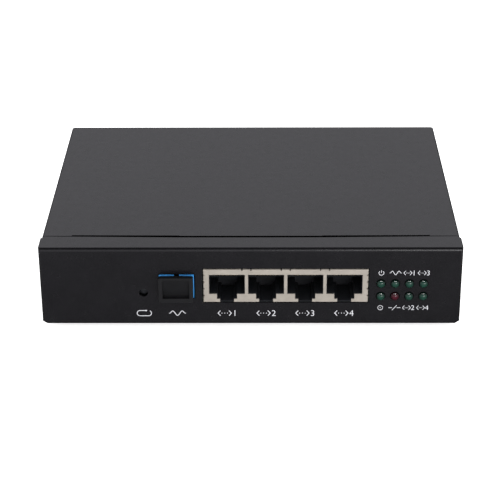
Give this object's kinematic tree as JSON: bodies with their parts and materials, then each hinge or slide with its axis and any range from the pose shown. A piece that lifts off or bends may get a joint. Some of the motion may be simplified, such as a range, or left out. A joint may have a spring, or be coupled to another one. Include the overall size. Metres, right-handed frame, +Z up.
{
  "type": "optical network terminal",
  "caption": "Desktop fibre terminal in a black bent-steel case: a row of network ports, an optical socket with a pull-out dust plug, indicator lamps and a recessed reset button.",
  "frame": {"origin": "on the surface it stands on, under the middle of the bounding box", "axes": "+X to the right seen from the front, front panel faces -Y, +Z up"},
  "size_m": [0.1524, 0.1168, 0.0325],
  "materials": {
    "case_paint": "fine-textured black powder coat",
    "black_screw": "black zinc",
    "rubber": "matt black",
    "jack_shield": "bright tin plate, slightly warm",
    "black_plastic": "moulded black",
    "gold": "gold flash",
    "optic_blue": "moulded blue",
    "plug_plastic": "soft moulded black",
    "ceramic": "polished white ceramic",
    "steel": "plain bright",
    "lamp_green": "clear green tint, unlit",
    "lamp_red": "clear red tint, unlit",
    "board_green": "green solder mask",
    "chip_black": "moulded epoxy",
    "thermal_grey": "soft grey gap filler",
    "aluminium": "satin",
    "brass": "turned"
  },
  "bodies": {
    "case": {"chassis": "case_paint", "top_cover": "case_paint", "side_screw_1": "black_screw", "side_screw_2": "black_screw", "side_screw_3": "black_screw", "side_screw_4": "black_screw", "rubber_foot_1": "rubber", "rubber_foot_2": "rubber", "rubber_foot_3": "rubber", "rubber_foot_4": "rubber", "jack_shield": "jack_shield", "jack_housing": "black_plastic", "lamp_holder": "black_plastic", "reset_switch_body": "black_plastic", "power_inlet": "black_plastic", "contact_insert_1": "gold", "contact_insert_2": "gold", "contact_insert_3": "gold", "contact_insert_4": "gold", "laser_can": "gold", "optical_receptacle": "optic_blue", "alignment_sleeve": "ceramic", "optical_body": "steel", "receiver_can": "steel", "crystal": "steel", "power_pin": "steel", "board_screw_1": "steel", "board_screw_2": "steel", "board_screw_3": "steel", "board_screw_4": "steel", "indicator_lamp_1": "lamp_green", "indicator_lamp_2": "lamp_green", "indicator_lamp_3": "lamp_green", "indicator_lamp_4": "lamp_green", "indicator_lamp_5": "lamp_green", "indicator_lamp_7": "lamp_green", "indicator_lamp_8": "lamp_green", "indicator_lamp_6": "lamp_red", "main_board": "board_green", "processor": "chip_black", "memory_chip": "chip_black", "flash_chip": "chip_black", "optical_driver_chip": "chip_black", "power_regulator": "chip_black", "network_transformer_1": "chip_black", "network_transformer_2": "chip_black", "power_inductor_1": "chip_black", "power_inductor_2": "chip_black", "thermal_pad": "thermal_grey", "heat_sink": "aluminium", "capacitor_1": "aluminium", "capacitor_2": "aluminium", "standoff_1": "brass", "standoff_2": "brass", "standoff_3": "brass", "standoff_4": "brass"},
    "plug": {"dust_plug": "plug_plastic"},
    "button": {"reset_button": "black_plastic"}
  },
  "joints": [
    {"name": "dust_plug_pull", "type": "slide", "parent": "case", "child": "plug", "axis": [0, -1, 0], "range_m": [0, 0.02]},
    {"name": "reset_press", "type": "slide", "parent": "case", "child": "button", "axis": [0, 1, 0], "range_m": [0, 0.00025], "stiffness_N_per_m": 6400}
  ]
}
